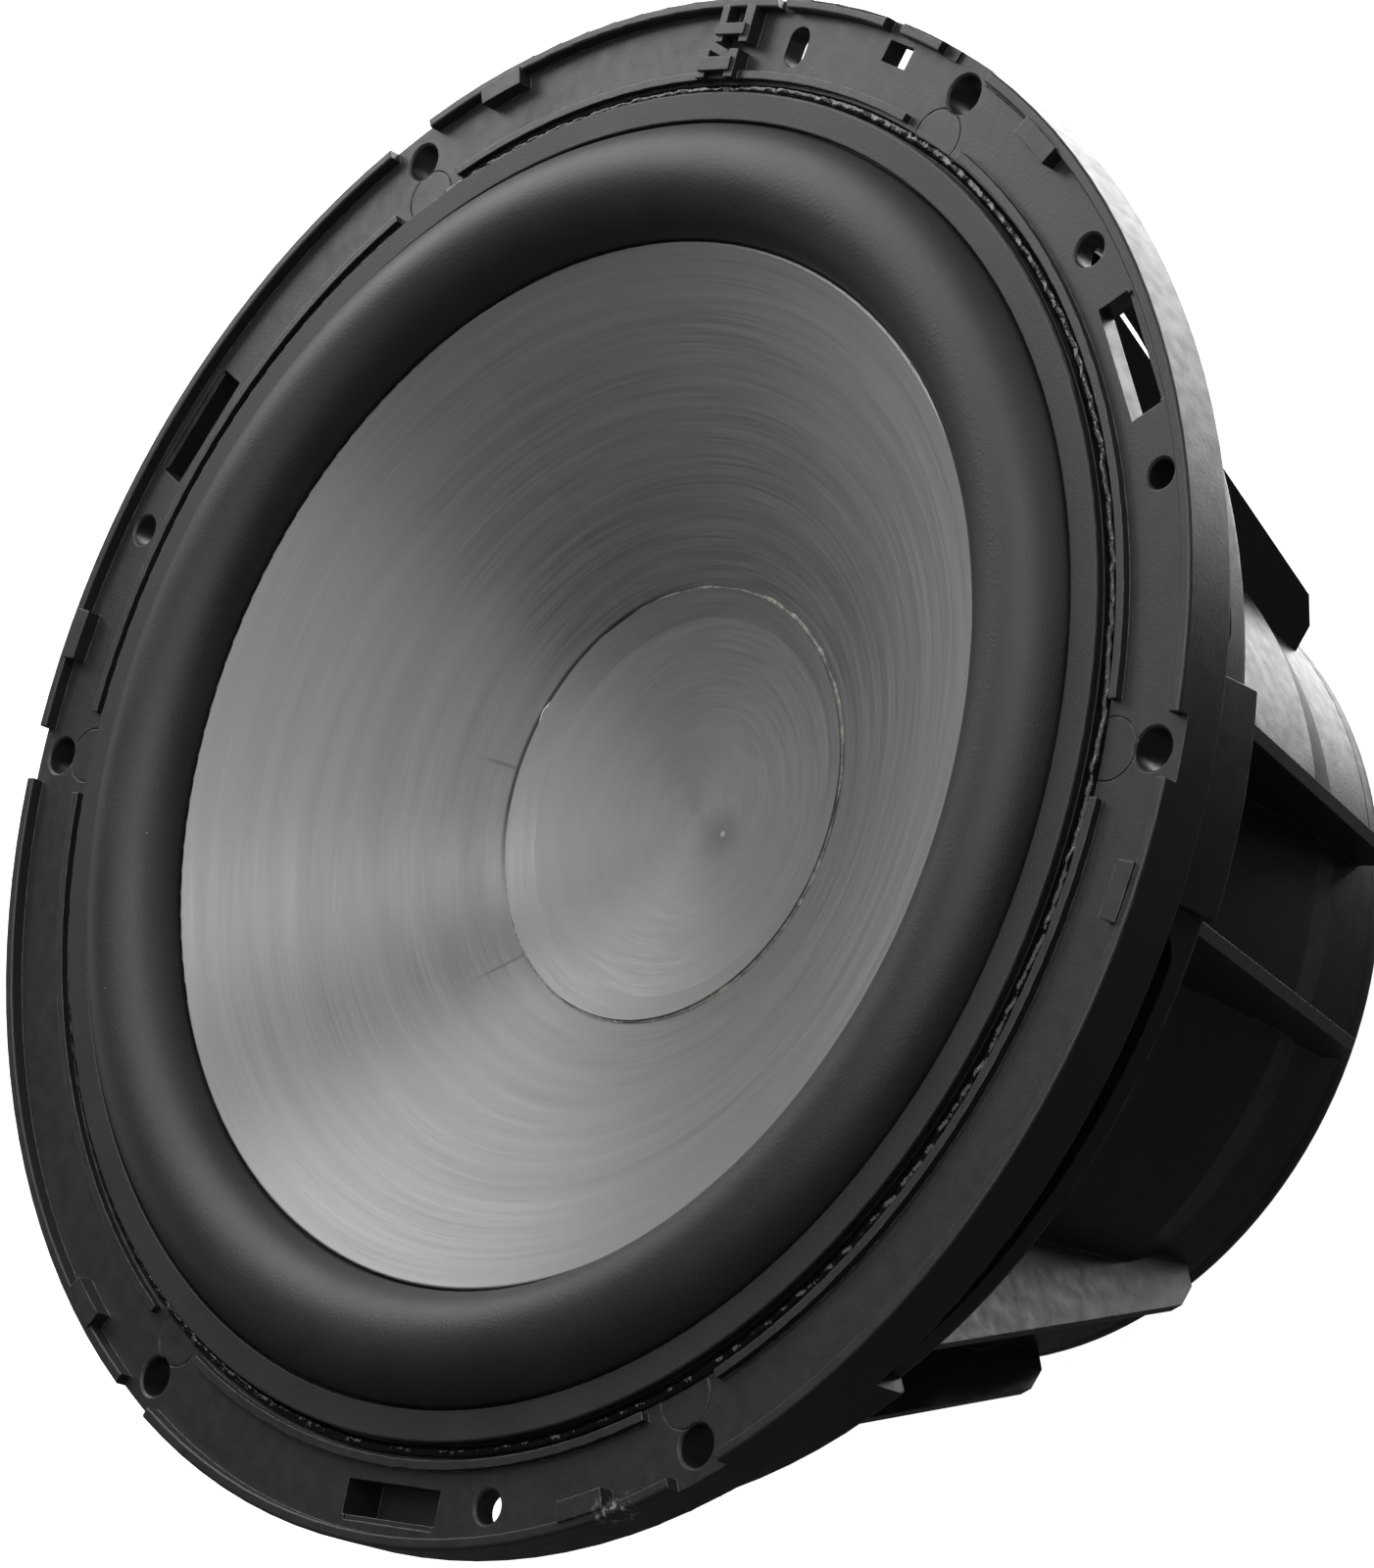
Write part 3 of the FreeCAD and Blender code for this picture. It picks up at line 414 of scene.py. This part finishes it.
# %% Rubber, glue and cloth materials
def moulded_rubber(name, dark, light, grain_mm, roughness):
    """Matt rubber with a fine grain and a little dust."""
    material, tree, surface, place = new_material(name, IOR=1.52, Specular_IOR_Level=0.5)
    bloom = stretch(tree, noise(tree, place, 16.0), 0.35, 0.65, 0, 1)
    tint = mix_colours(tree, bloom, dark, light)
    dust = stretch(tree, specks(tree, place, 8.0, 0.45), 0, 1, 0, 0.5)
    tree.links.new(mix_colours(tree, dust, tint, "#9a9994"), surface.inputs["Base Color"])
    tree.links.new(stretch(tree, bloom, 0, 1, roughness, roughness + 0.05), surface.inputs["Roughness"])
    tree.links.new(bump(tree, noise(tree, place, grain_mm, 3.0), 0.05), surface.inputs["Normal"])
    return material


surround_rubber = moulded_rubber("nitrile rubber, moulded", "#1b1b1b", "#202020", 0.5, 0.46)
gasket_rubber = moulded_rubber("die-cut rubber gasket", "#1e1e1e", "#242424", 0.35, 0.52)

black_glue, tree, surface, place = new_material("black rubber cement, glossy", IOR=1.5)
skin = noise(tree, place, 2.2)
tree.links.new(mix_colours(tree, skin, "#070707", "#0e0e0e"), surface.inputs["Base Color"])
tree.links.new(stretch(tree, skin, 0.3, 0.7, 0.08, 0.14), surface.inputs["Roughness"])
tree.links.new(bump(tree, noise(tree, place, 0.9, 2.0), 0.15), surface.inputs["Normal"])

clear_glue, tree, surface, place = new_material("clear cement, brushed", IOR=1.5, Transmission_Weight=0.1)
skin = noise(tree, place, 1.2)
tree.links.new(mix_colours(tree, stretch(tree, skin, 0.4, 0.65, 0, 1), "#7c7b76", "#9c9b95"),
               surface.inputs["Base Color"])
# Over about a quarter turn the glue is painted nearly black, a painted shadow of the gap beside the cap's
# edge. One pale drop of glue sits there.
from_gap_shadow = add_node(tree, "ShaderNodeVectorMath", {"operation": "DISTANCE"},
                   {1: Vector((33.0, 19.0, -29.9)) * MM}, {0: place}).outputs["Value"]
paint_over(tree, surface, stretch(tree, from_gap_shadow, 40 * MM, 22 * MM, 0, 0.9), "#101010")
drop = add_node(tree, "ShaderNodeVectorMath", {"operation": "DISTANCE"},
                {1: Vector((31.3, 21.9, -29.6)) * MM}, {0: place}).outputs["Value"]
paint_over(tree, surface, stretch(tree, drop, 2.4 * MM, 1.6 * MM, 0, 1), "#cfcec8")
tree.links.new(stretch(tree, skin, 0.3, 0.7, 0.18, 0.4), surface.inputs["Roughness"])
tree.links.new(bump(tree, skin, 0.1), surface.inputs["Normal"])

spider_cloth, tree, surface, place = new_material(
    "woven cotton and polyester, resin stiffened", Roughness=0.8)
thread_pitch = 0.55
thread_scale = 2 * math.pi / 20 / (thread_pitch * MM)
warp = add_node(tree, "ShaderNodeTexWave", {"bands_direction": "X"},
                {"Scale": thread_scale}, {"Vector": place})
weft = add_node(tree, "ShaderNodeTexWave", {"bands_direction": "Y"},
                {"Scale": thread_scale}, {"Vector": place})
weave = add_node(tree, "ShaderNodeMath", {"operation": "MULTIPLY"},
                 links={0: warp.outputs["Fac"], 1: weft.outputs["Fac"]}).outputs[0]
tree.links.new(mix_colours(tree, weave, "#4a3d25", "#8f7748"), surface.inputs["Base Color"])
tree.links.new(bump(tree, weave, 0.15), surface.inputs["Normal"])
print("soft materials", surround_rubber.name, spider_cloth.name)

# %% [markdown]
# ## Metals and ferrite
# Under the plastic sits a motor of zinc-plated steel and ferrite rings. Zinc shows a fine
# crystalline cloud and a dull shine; ferrite is a fired ceramic, charcoal and gritty with
# small chips; enamelled copper wire keeps a metallic brown gloss. Each pattern is sized from
# the real grain, except the zinc spangle, which is drawn at 2 mm.

# %% Metal materials
def plated_metal(name, dark, light, cloud_mm, rough_low, rough_high, depth):
    """Metal with a cloudy tone and an uneven polish."""
    material, tree, surface, place = new_material(name, Metallic=1.0)
    cloud = noise(tree, place, cloud_mm, 5.0)
    tree.links.new(mix_colours(tree, stretch(tree, cloud, 0.3, 0.7, 0, 1), dark, light),
                   surface.inputs["Base Color"])
    tree.links.new(stretch(tree, cloud, 0.3, 0.7, rough_low, rough_high), surface.inputs["Roughness"])
    tree.links.new(bump(tree, noise(tree, place, cloud_mm * 0.3), depth), surface.inputs["Normal"])
    return material


zinc_steel = plated_metal("zinc-plated mild steel", "#8b8d8c", "#b4b6b3", 2.0, 0.28, 0.44, 0.02)
black_steel = plated_metal("black-oxide screw steel", "#1a1a1c", "#2c2c2e", 1.5, 0.32, 0.48, 0.01)
tinned_brass = plated_metal("tin-plated brass", "#a9a79d", "#c9c7bc", 1.2, 0.22, 0.38, 0.01)
former_metal = plated_metal("rolled aluminium foil", "#a6a8aa", "#c3c5c6", 3.0, 0.25, 0.36, 0.01)
copper_wire = plated_metal("enamelled copper wire", "#7d3f1d", "#a4592c", 1.0, 0.22, 0.32, 0.005)
tinsel_braid = plated_metal("tinsel copper braid, tinned", "#8c7a63", "#b7a68c", 0.6, 0.3, 0.45, 0.02)

ferrite, tree, surface, place = new_material("sintered strontium ferrite", Roughness=0.62, IOR=2.2)
grit = noise(tree, place, 0.7, 6.0)
tree.links.new(mix_colours(tree, stretch(tree, grit, 0.3, 0.7, 0, 1), "#1d1c1c", "#353332"),
               surface.inputs["Base Color"])
tree.links.new(bump(tree, grit, 0.06), surface.inputs["Normal"])
print("metals", [m.name for m in (zinc_steel, black_steel, tinned_brass, former_metal, copper_wire)])

# %% [markdown]
# ## Finish the CAD nodes
# Every hard node keeps its CAD mesh and only gets a better material, so its shape stays the
# one the physics uses.

# %% Materials on the CAD nodes
finishes = {
    "basket": basket_polymer, "rear_cover": cover_polymer, "terminal_block": terminal_polymer,
    "cone": cone_lacquer, "dust_cap": cap_lacquer, "surround_clamp_ring": gasket_rubber,
    "spider_clamp_ring": terminal_polymer, "neck_adhesive": black_glue, "coil_former": former_metal,
    "front_plate": zinc_steel, "yoke": zinc_steel, "shorting_ring": former_metal,
    "front_magnet": ferrite, "rear_magnet": ferrite, "motor_screws": zinc_steel,
    "rear_vent_screen": black_steel, "rear_cover_screws": black_steel,
    "terminal_positive": tinned_brass, "terminal_negative": tinned_brass, "terminal_screws": zinc_steel,
}
for name, material in finishes.items():
    mesh = nodes[name].data
    mesh.materials.clear()
    mesh.materials.append(material)
print("finished", len(finishes), "CAD nodes; cone has", len(nodes["cone"].data.polygons), "faces")

# %% [markdown]
# ## Lathe-turned soft parts
# The surround, glue beads, spider and coil are all rings. A lathe function sweeps a section
# round the axis, and an optional function nudges each point, because real rubber and glue are
# never quite even. `ripple` gives that unevenness as a few waves with seeded phases.

# %% Lathe and ripple
def lathe(name, section, turns, material, nudge=None):
    """Closed ring swept from a closed section of (radius, height) points in millimetres."""
    count = len(section)
    points = []
    for step in range(turns):
        angle = 2 * math.pi * step / turns
        for radius, height in section:
            if nudge:
                radius, height = nudge(angle, radius, height)
            points.append((radius * MM * math.cos(angle), radius * MM * math.sin(angle), height * MM))
    faces = []
    for step in range(turns):
        here, after = step * count, (step + 1) % turns * count
        for i in range(count):
            j = (i + 1) % count
            faces.append((here + i, after + i, after + j, here + j))
    mesh = bpy.data.meshes.new(name)
    mesh.from_pydata(points, [], faces)
    mesh.materials.append(material)
    mesh.shade_smooth()
    mesh.set_sharp_from_angle(angle=math.radians(40))
    piece = bpy.data.objects.new(name, mesh)
    bpy.context.scene.collection.objects.link(piece)
    return piece


def ripple(seed, waves):
    """Smooth uneven function of angle, from about -1 to 1, made of the given wave counts."""
    phases = random.Random(seed)
    terms = [(count, phases.uniform(0, 2 * math.pi)) for count in waves]
    return lambda angle: sum(math.sin(count * angle + phase) for count, phase in terms) / len(terms) * 1.6


def radial_blend(piece):
    """Bake the ring's placement into its mesh; nothing makes it follow the cone or the frame."""
    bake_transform(piece)


even = ripple(1, (3, 7))
print("a ripple at 0, 90 and 180 degrees:", [round(even(math.radians(a)), 2) for a in (0, 90, 180)])

# %% [markdown]
# ## Surround
# The half roll carries the cone's edge and lets it travel ten millimetres each way. Its
# section is one arc with a flat lip at each side: the outer lip is glued to the basket under
# the clamp ring, and the inner one sits under the cone. As the cone moves, the inner edge
# rides with it and the outer edge stays, so the roll rolls.

# %% Surround
roll_inner, roll_outer = (91.0, -0.7), (109.3, 2.0)
roll_rise, rubber_t, lip_t = 6.6, 1.2, 1.0
landing_outer_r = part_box("surround")[1].x / MM
cone_slope = 29.4 / 52.0  # the cone rises 29.4 mm over 52 mm of radius


def arc_section(inner, outer, rise, shift, steps):
    """Points of the roll's arc, moved out by shift, from its inner end to its outer end."""
    across, up = outer[0] - inner[0], outer[1] - inner[1]
    half = math.hypot(across, up) / 2
    radius = (half * half + rise * rise) / (2 * rise)
    tilt = math.atan2(up, across)
    centre_r = (inner[0] + outer[0]) / 2 + (radius - rise) * math.sin(tilt)
    centre_z = (inner[1] + outer[1]) / 2 - (radius - rise) * math.cos(tilt)
    spread = math.asin(half / radius)
    top = math.pi / 2 + tilt
    angles = [top + spread - 2 * spread * i / steps for i in range(steps + 1)]
    reach = radius + shift
    return [(centre_r + reach * math.cos(a), centre_z + reach * math.sin(a)) for a in angles]


lip_start = 85.5
lip_top = roll_inner[1] - 1.35 + cone_slope * (lip_start - 90.0)
section = [(lip_start, lip_top), (roll_inner[0] - 0.6, lip_top + cone_slope * 4.9)]
section += arc_section(roll_inner, roll_outer, roll_rise, rubber_t / 2, 32)
section += [(roll_outer[0] + 0.65, 1.45), (roll_outer[0] + 0.75, 1.12), (roll_outer[0] + 1.1, 0.05 + lip_t)]
section += [(landing_outer_r - 0.3, 0.05 + lip_t), (landing_outer_r, 0.05 + lip_t - 0.3)]
section += [(landing_outer_r, 0.05)]
section += [(roll_outer[0] - 0.5, 0.05)]
section += arc_section(roll_inner, roll_outer, roll_rise, -rubber_t / 2, 32)[::-1]
section += [(roll_inner[0] - 0.4, lip_top + cone_slope * 5.1 - lip_t), (lip_start, lip_top - lip_t)]
sag = ripple(3, (2, 5, 9))


def rubber_nudge(angle, radius, height):
    """A few hundredths of a millimetre of unevenness, on the free part of the roll only."""
    free = max(0.0, math.sin(math.pi * (radius - 91.0) / 18.3)) if 91.0 < radius < 109.3 else 0.0
    return radius, height + 0.07 * free * sag(angle)


surround = lathe("surround_roll", section, 360, surround_rubber, rubber_nudge)
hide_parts("surround")
radial_blend(surround)
print("surround section has", len(section), "points; outer radius", round(landing_outer_r, 1), "mm")

# %% [markdown]
# ## Glue beads
# Glue is laid from a nozzle while the part turns. The bead swells and thins, strings out, and
# catches small sharp glints, which a perfect ring would not. A few larger lumps sit where the
# nozzle started and stopped.

# %% Glue beads
def lump(angle, where, width):
    """One rounded lump: 1 at the given angle, fading over the given width, in degrees."""
    away = (math.degrees(angle) - where + 180) % 360 - 180
    return math.exp(-(away / width) ** 2)


bead_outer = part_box("surround_adhesive")[1].x / MM
bead_inner = landing_outer_r + 0.15
bead_middle, bead_half = (bead_outer + bead_inner) / 2, (bead_outer - bead_inner) / 2
swell, wander = ripple(11, (11, 37, 83, 149, 211)), ripple(12, (7, 19, 31))
bead_section = [(bead_middle + bead_half * math.cos(a), 0.04 + 0.85 * math.sin(a))
                for a in np.linspace(0, math.pi, 12)]
bead_section += [(bead_inner + 0.3, -0.02), (bead_outer - 0.3, -0.02)]
nozzle_stops = (238.0, 247.0, 262.0, 285.0, 301.0, 118.0)


def bead_nudge(angle, radius, height):
    """Swelling and wandering of the bead, strongest where the nozzle paused."""
    grown = 1 + 0.35 * swell(angle) + sum(0.45 * lump(angle, stop, 1.2) for stop in nozzle_stops)
    return radius + 0.08 * wander(angle), max(height, 0) * grown + min(height, 0)


bead = lathe("surround_glue_bead", bead_section, 1440, black_glue, bead_nudge)
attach(bead, "frame")
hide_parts("surround_adhesive")

cap_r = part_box("dust_cap")[1].x / MM


def cone_height(radius):
    """Height of the cone's front face, in millimetres."""
    return roll_inner[1] + cone_slope * (radius - 90.0)


cap_lumps = ((35.0, 2.4, 1.1), (214.0, 1.0, 0.6), (283.0, 0.9, 0.6), (298.0, 1.0, 0.7))
fillet = [(cap_r + 0.02, cone_height(cap_r) + 0.02), (cap_r + 0.6, cone_height(cap_r + 0.6) + 0.02)]
fillet += [(cap_r + 0.36, cone_height(cap_r + 0.4) + 0.16), (cap_r + 0.16, cone_height(cap_r) + 0.34)]
fillet += [(cap_r + 0.02, cone_height(cap_r) + 0.5)]
thin = ripple(21, (4, 9, 17, 29))


def fillet_nudge(angle, radius, height):
    """Brushed fillet that grows into a lump where the brush was lifted."""
    grown = 0.8 + 0.35 * thin(angle)
    grown += sum(size * lump(angle, where, width) for where, width, size in cap_lumps)
    base = cone_height(radius)
    return cap_r + 0.02 + (radius - cap_r - 0.02) * grown, base + (height - base) * grown


cap_glue = lathe("cap_glue_fillet", fillet, 1080, clear_glue, fillet_nudge)
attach(cap_glue, "cone_assembly")
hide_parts("cap_adhesive")
print("bead from", round(bead_inner, 2), "to", round(bead_outer, 2), "mm; cap radius", round(cap_r, 1))

# %% [markdown]
# ## Spider
# The spider is the second spring: a disc of stiffened cloth pressed into rings of waves. It
# keeps the coil in the middle of its gap. Its waves bend as the cone moves.

# %% Spider
spider_low, spider_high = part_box("spider")
spider_inner, spider_outer = 25.9, spider_high.x / MM
spider_z = (spider_low.z + spider_high.z) / 2 / MM
cloth_t, wave_h, wave_count = 0.6, 1.1, 6
wave_start, wave_end = spider_inner + 3.0, 72.4


def spider_height(radius):
    """Height of the cloth's middle at a radius."""
    if not wave_start < radius < wave_end:
        return spider_z
    waves = wave_count * (radius - wave_start) / (wave_end - wave_start)
    return spider_z + wave_h * math.sin(2 * math.pi * waves)


radii = np.linspace(spider_inner, spider_outer, 110)
cloth_section = [(r, spider_height(r) + cloth_t / 2) for r in radii]
cloth_section += [(r, spider_height(r) - cloth_t / 2) for r in radii[::-1]]
spider = lathe("spider_cloth", cloth_section, 240, spider_cloth)
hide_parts("spider")
radial_blend(spider)
print("spider", round(spider_inner, 1), "to", round(spider_outer, 1), "mm at height", round(spider_z, 1))

# %% [markdown]
# ## Voice coil
# About sixty turns of round enamelled wire lie side by side on the former. A section with one
# half circle for each turn shows them as real wire instead of a smooth tube.

# %% Voice coil
coil_low, coil_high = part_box("voice_coil")
coil_outer, coil_top, coil_bottom = coil_high.x / MM, coil_high.z / MM, coil_low.z / MM
coil_inner, wire_turns = 25.62, 56
pitch = (coil_top - coil_bottom) / wire_turns
coil_section = [(coil_inner, coil_top), (coil_inner, coil_bottom)]
for turn in range(wire_turns):
    middle = coil_bottom + (turn + 0.5) * pitch
    for a in np.linspace(-math.pi / 2, math.pi / 2, 6):
        coil_section.append((coil_outer - pitch / 2 + pitch / 2 * math.cos(a),
                             middle + pitch / 2 * math.sin(a)))
coil = lathe("voice_coil_turns", coil_section, 160, copper_wire)
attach(coil, "cone_assembly")
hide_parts("voice_coil")
print("coil of", wire_turns, "turns,", round(pitch, 2), "mm pitch")

# %% [markdown]
# ## Tinsel leads
# Two flexible leads carry the current from the terminals, over the spider, to the moving coil.
# Plain wire would break in a few hours, so they are braided from tinsel: thin tinned copper
# ribbon on a cotton core. Each lead follows one smooth curve through its route, and the braid
# is drawn as strands that wind both ways round that curve.

# %% Tinsel leads
terminal_turn = Matrix.Rotation(math.radians(-30.0), 3, "Z")
lead_r = 0.8
strand_r = 0.16
braid_pitch = 5.0


def lead_route(side):
    """Points of the lead's route in metres, from the coil former to the terminal's lug."""
    across = side * 5.5
    route = [(26.6, across * 0.6, -42.8), (48.0, across * 0.8, -42.0), (69.5, across, -42.9),
             (79.0, across, -43.8), (80.2, across, -50.5), (79.4, across, -61.55)]
    return [terminal_turn @ Vector(point) * MM for point in route]


def smooth_line(points):
    """Points along the NURBS curve that has these points as its control points."""
    curve = bpy.data.curves.new("route", "CURVE")
    curve.dimensions = "3D"
    curve.resolution_u = 12
    spline = curve.splines.new("NURBS")
    spline.points.add(len(points) - 1)
    for control, point in zip(spline.points, points):
        control.co = (*point, 1.0)
    spline.order_u = 3
    spline.use_endpoint_u = True
    holder = bpy.data.objects.new("route", curve)
    mesh = bpy.data.meshes.new_from_object(holder)
    line = [vertex.co.copy() for vertex in mesh.vertices]
    bpy.data.objects.remove(holder)
    return line


def braid(name, line, material):
    """Strands that wind both ways round a line, as one mesh."""
    steps = np.cumsum([0.0] + [(b - a).length for a, b in zip(line, line[1:])])
    samples = np.linspace(0, steps[-1], 260)
    path = [Vector([np.interp(s, steps, [point[k] for point in line]) for k in range(3)]) for s in samples]
    vertices, faces = [], []
    for strand in range(8):
        winding = 1 if strand % 2 else -1
        centres = []
        for i, (s, point) in enumerate(zip(samples, path)):
            ahead = (path[min(i + 1, len(path) - 1)] - path[max(i - 1, 0)]).normalized()
            side = ahead.cross(Vector((0, 0, 1)) if abs(ahead.z) < 0.9 else terminal_turn @ Vector((1, 0, 0)))
            side.normalize()
            up = side.cross(ahead)
            turn = winding * 2 * math.pi * s / (braid_pitch * MM) + strand * math.pi / 4
            weave = (lead_r - strand_r - 0.06 * (1 + math.cos(4 * turn * winding))) * MM
            centres.append(point + (side * math.cos(turn) + up * math.sin(turn)) * weave)
        base = len(vertices)
        for i, centre in enumerate(centres):
            ahead = (centres[min(i + 1, len(centres) - 1)] - centres[max(i - 1, 0)]).normalized()
            side = (centre - path[i]).normalized()
            up = ahead.cross(side)
            for k in range(6):
                a = math.pi / 3 * k
                vertices.append(centre + (side * math.cos(a) * 0.7 + up * math.sin(a) * 1.7) * strand_r * MM)
        for i in range(len(centres) - 1):
            for k in range(6):
                here, after = base + i * 6, base + (i + 1) * 6
                faces.append((here + k, here + (k + 1) % 6, after + (k + 1) % 6, after + k))
    mesh = bpy.data.meshes.new(name)
    mesh.from_pydata(vertices, [], faces)
    mesh.materials.append(material)
    mesh.shade_smooth()
    piece = bpy.data.objects.new(name, mesh)
    bpy.context.scene.collection.objects.link(piece)
    return piece, float(steps[-1])


for side_name, side in (("positive", 1), ("negative", -1)):
    line = smooth_line(lead_route(side))
    lead, lead_length = braid("lead_" + side_name + "_braid", line, tinsel_braid)
    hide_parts("lead_" + side_name)
    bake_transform(lead)
    print(lead.name, round(lead_length / MM, 1), "mm long")
